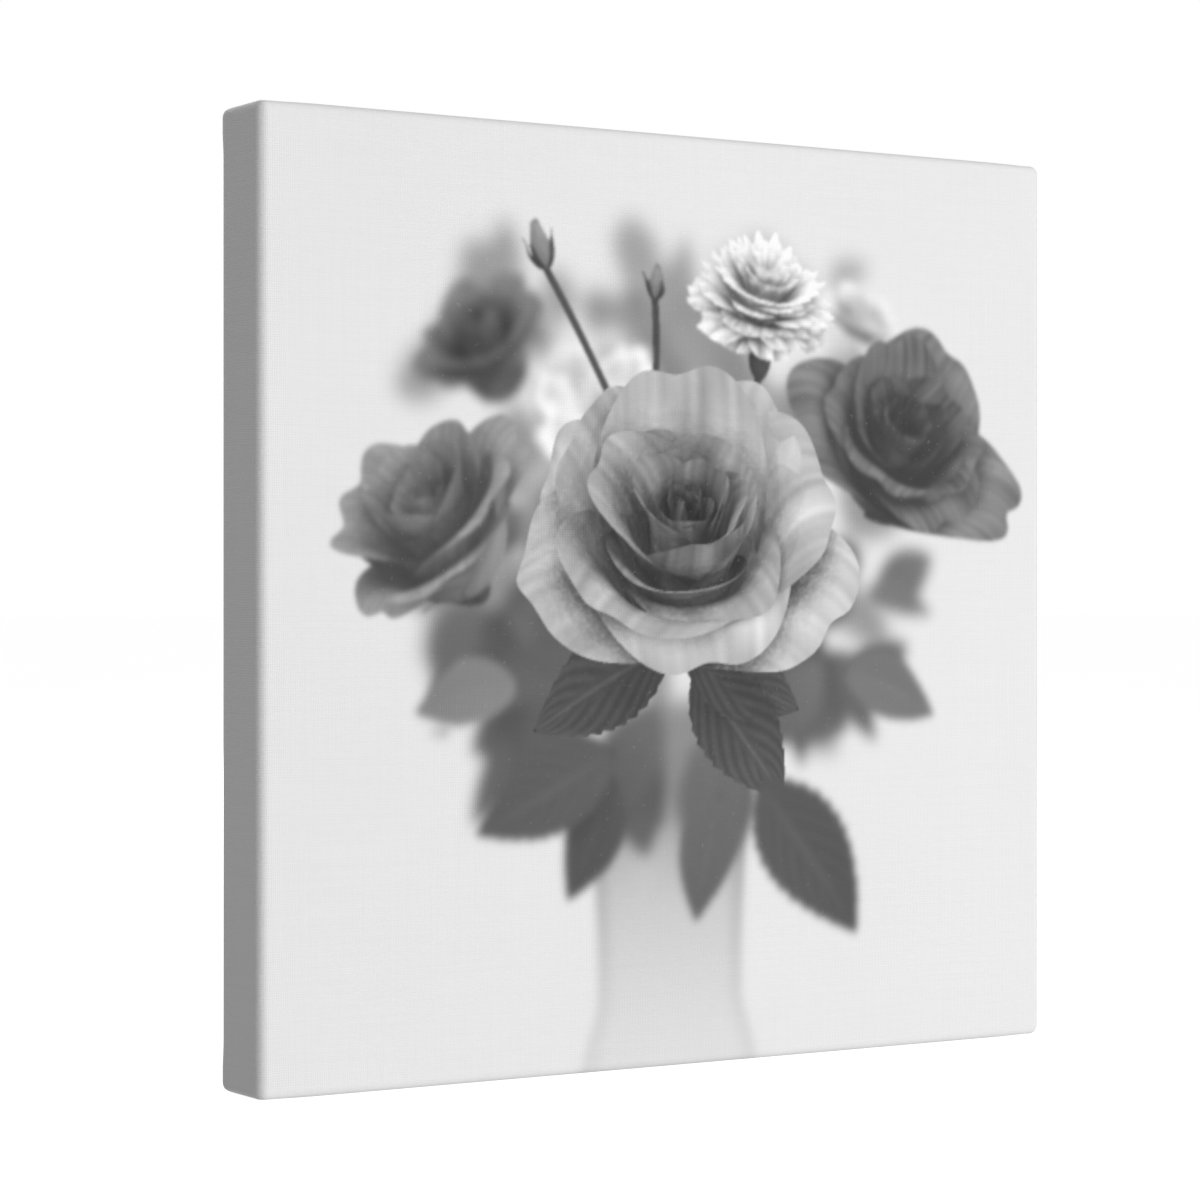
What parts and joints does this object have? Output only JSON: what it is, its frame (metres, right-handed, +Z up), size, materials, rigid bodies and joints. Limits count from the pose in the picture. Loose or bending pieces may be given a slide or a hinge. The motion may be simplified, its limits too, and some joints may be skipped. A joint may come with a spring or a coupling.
{
  "type": "stretched canvas",
  "caption": "Square canvas print on a mitred, keyed pine stretcher frame, stapled at the back, with a sawtooth hanger and soft bumpers.",
  "frame": {"origin": "centre of the underside of the whole box, so it stands on its lower edge", "axes": "+X to the right seen from the picture side, +Y from the picture to the back, +Z up"},
  "size_m": [0.3556, 0.0342, 0.3556],
  "materials": {
    "primed_cotton": "matte primed and printed cotton canvas",
    "pine": "planed, unfinished pine",
    "key_wood": "sawn beech",
    "staple_steel": "galvanised wire",
    "brass_plate": "brass-plated steel",
    "bumper_rubber": "soft matte"
  },
  "bodies": {
    "canvas_on_bars": {"canvas": "primed_cotton", "stretcher_bar_top": "pine", "stretcher_bar_right": "pine", "stretcher_bar_bottom": "pine", "stretcher_bar_left": "pine", "staple_top_1": "staple_steel", "staple_top_2": "staple_steel", "staple_top_3": "staple_steel", "staple_top_4": "staple_steel", "staple_top_5": "staple_steel", "staple_top_6": "staple_steel", "staple_top_7": "staple_steel", "staple_right_1": "staple_steel", "staple_right_2": "staple_steel", "staple_right_3": "staple_steel", "staple_right_4": "staple_steel", "staple_right_5": "staple_steel", "staple_right_6": "staple_steel", "staple_right_7": "staple_steel", "staple_bottom_1": "staple_steel", "staple_bottom_2": "staple_steel", "staple_bottom_3": "staple_steel", "staple_bottom_4": "staple_steel", "staple_bottom_5": "staple_steel", "staple_bottom_6": "staple_steel", "staple_bottom_7": "staple_steel", "staple_left_1": "staple_steel", "staple_left_2": "staple_steel", "staple_left_3": "staple_steel", "staple_left_4": "staple_steel", "staple_left_5": "staple_steel", "staple_left_6": "staple_steel", "staple_left_7": "staple_steel", "staple_top_left_fold": "staple_steel", "staple_top_right_fold": "staple_steel", "staple_bottom_right_fold": "staple_steel", "staple_bottom_left_fold": "staple_steel", "sawtooth_hanger": "brass_plate", "hanger_nail_left": "brass_plate", "hanger_nail_right": "brass_plate", "bumper_top_left": "bumper_rubber", "bumper_top_right": "bumper_rubber", "bumper_bottom_right": "bumper_rubber", "bumper_bottom_left": "bumper_rubber"},
    "key_top_left_front": {"key_top_left_front": "key_wood"},
    "key_top_left_rear": {"key_top_left_rear": "key_wood"},
    "key_top_right_front": {"key_top_right_front": "key_wood"},
    "key_top_right_rear": {"key_top_right_rear": "key_wood"},
    "key_bottom_right_front": {"key_bottom_right_front": "key_wood"},
    "key_bottom_right_rear": {"key_bottom_right_rear": "key_wood"},
    "key_bottom_left_front": {"key_bottom_left_front": "key_wood"},
    "key_bottom_left_rear": {"key_bottom_left_rear": "key_wood"}
  },
  "joints": [
    {"name": "key_top_left_front_slide", "type": "slide", "parent": "canvas_on_bars", "child": "key_top_left_front", "axis": [1, 0, 0], "range_m": [0, 0.018]},
    {"name": "key_top_left_rear_slide", "type": "slide", "parent": "canvas_on_bars", "child": "key_top_left_rear", "axis": [0, 0, -1], "range_m": [0, 0.018]},
    {"name": "key_top_right_front_slide", "type": "slide", "parent": "canvas_on_bars", "child": "key_top_right_front", "axis": [0, 0, -1], "range_m": [0, 0.018]},
    {"name": "key_top_right_rear_slide", "type": "slide", "parent": "canvas_on_bars", "child": "key_top_right_rear", "axis": [-1, 0, 0], "range_m": [0, 0.018]},
    {"name": "key_bottom_right_front_slide", "type": "slide", "parent": "canvas_on_bars", "child": "key_bottom_right_front", "axis": [-1, 0, 0], "range_m": [0, 0.018]},
    {"name": "key_bottom_right_rear_slide", "type": "slide", "parent": "canvas_on_bars", "child": "key_bottom_right_rear", "axis": [0, 0, 1], "range_m": [0, 0.018]},
    {"name": "key_bottom_left_front_slide", "type": "slide", "parent": "canvas_on_bars", "child": "key_bottom_left_front", "axis": [0, 0, 1], "range_m": [0, 0.018]},
    {"name": "key_bottom_left_rear_slide", "type": "slide", "parent": "canvas_on_bars", "child": "key_bottom_left_rear", "axis": [1, 0, 0], "range_m": [0, 0.018]}
  ]
}
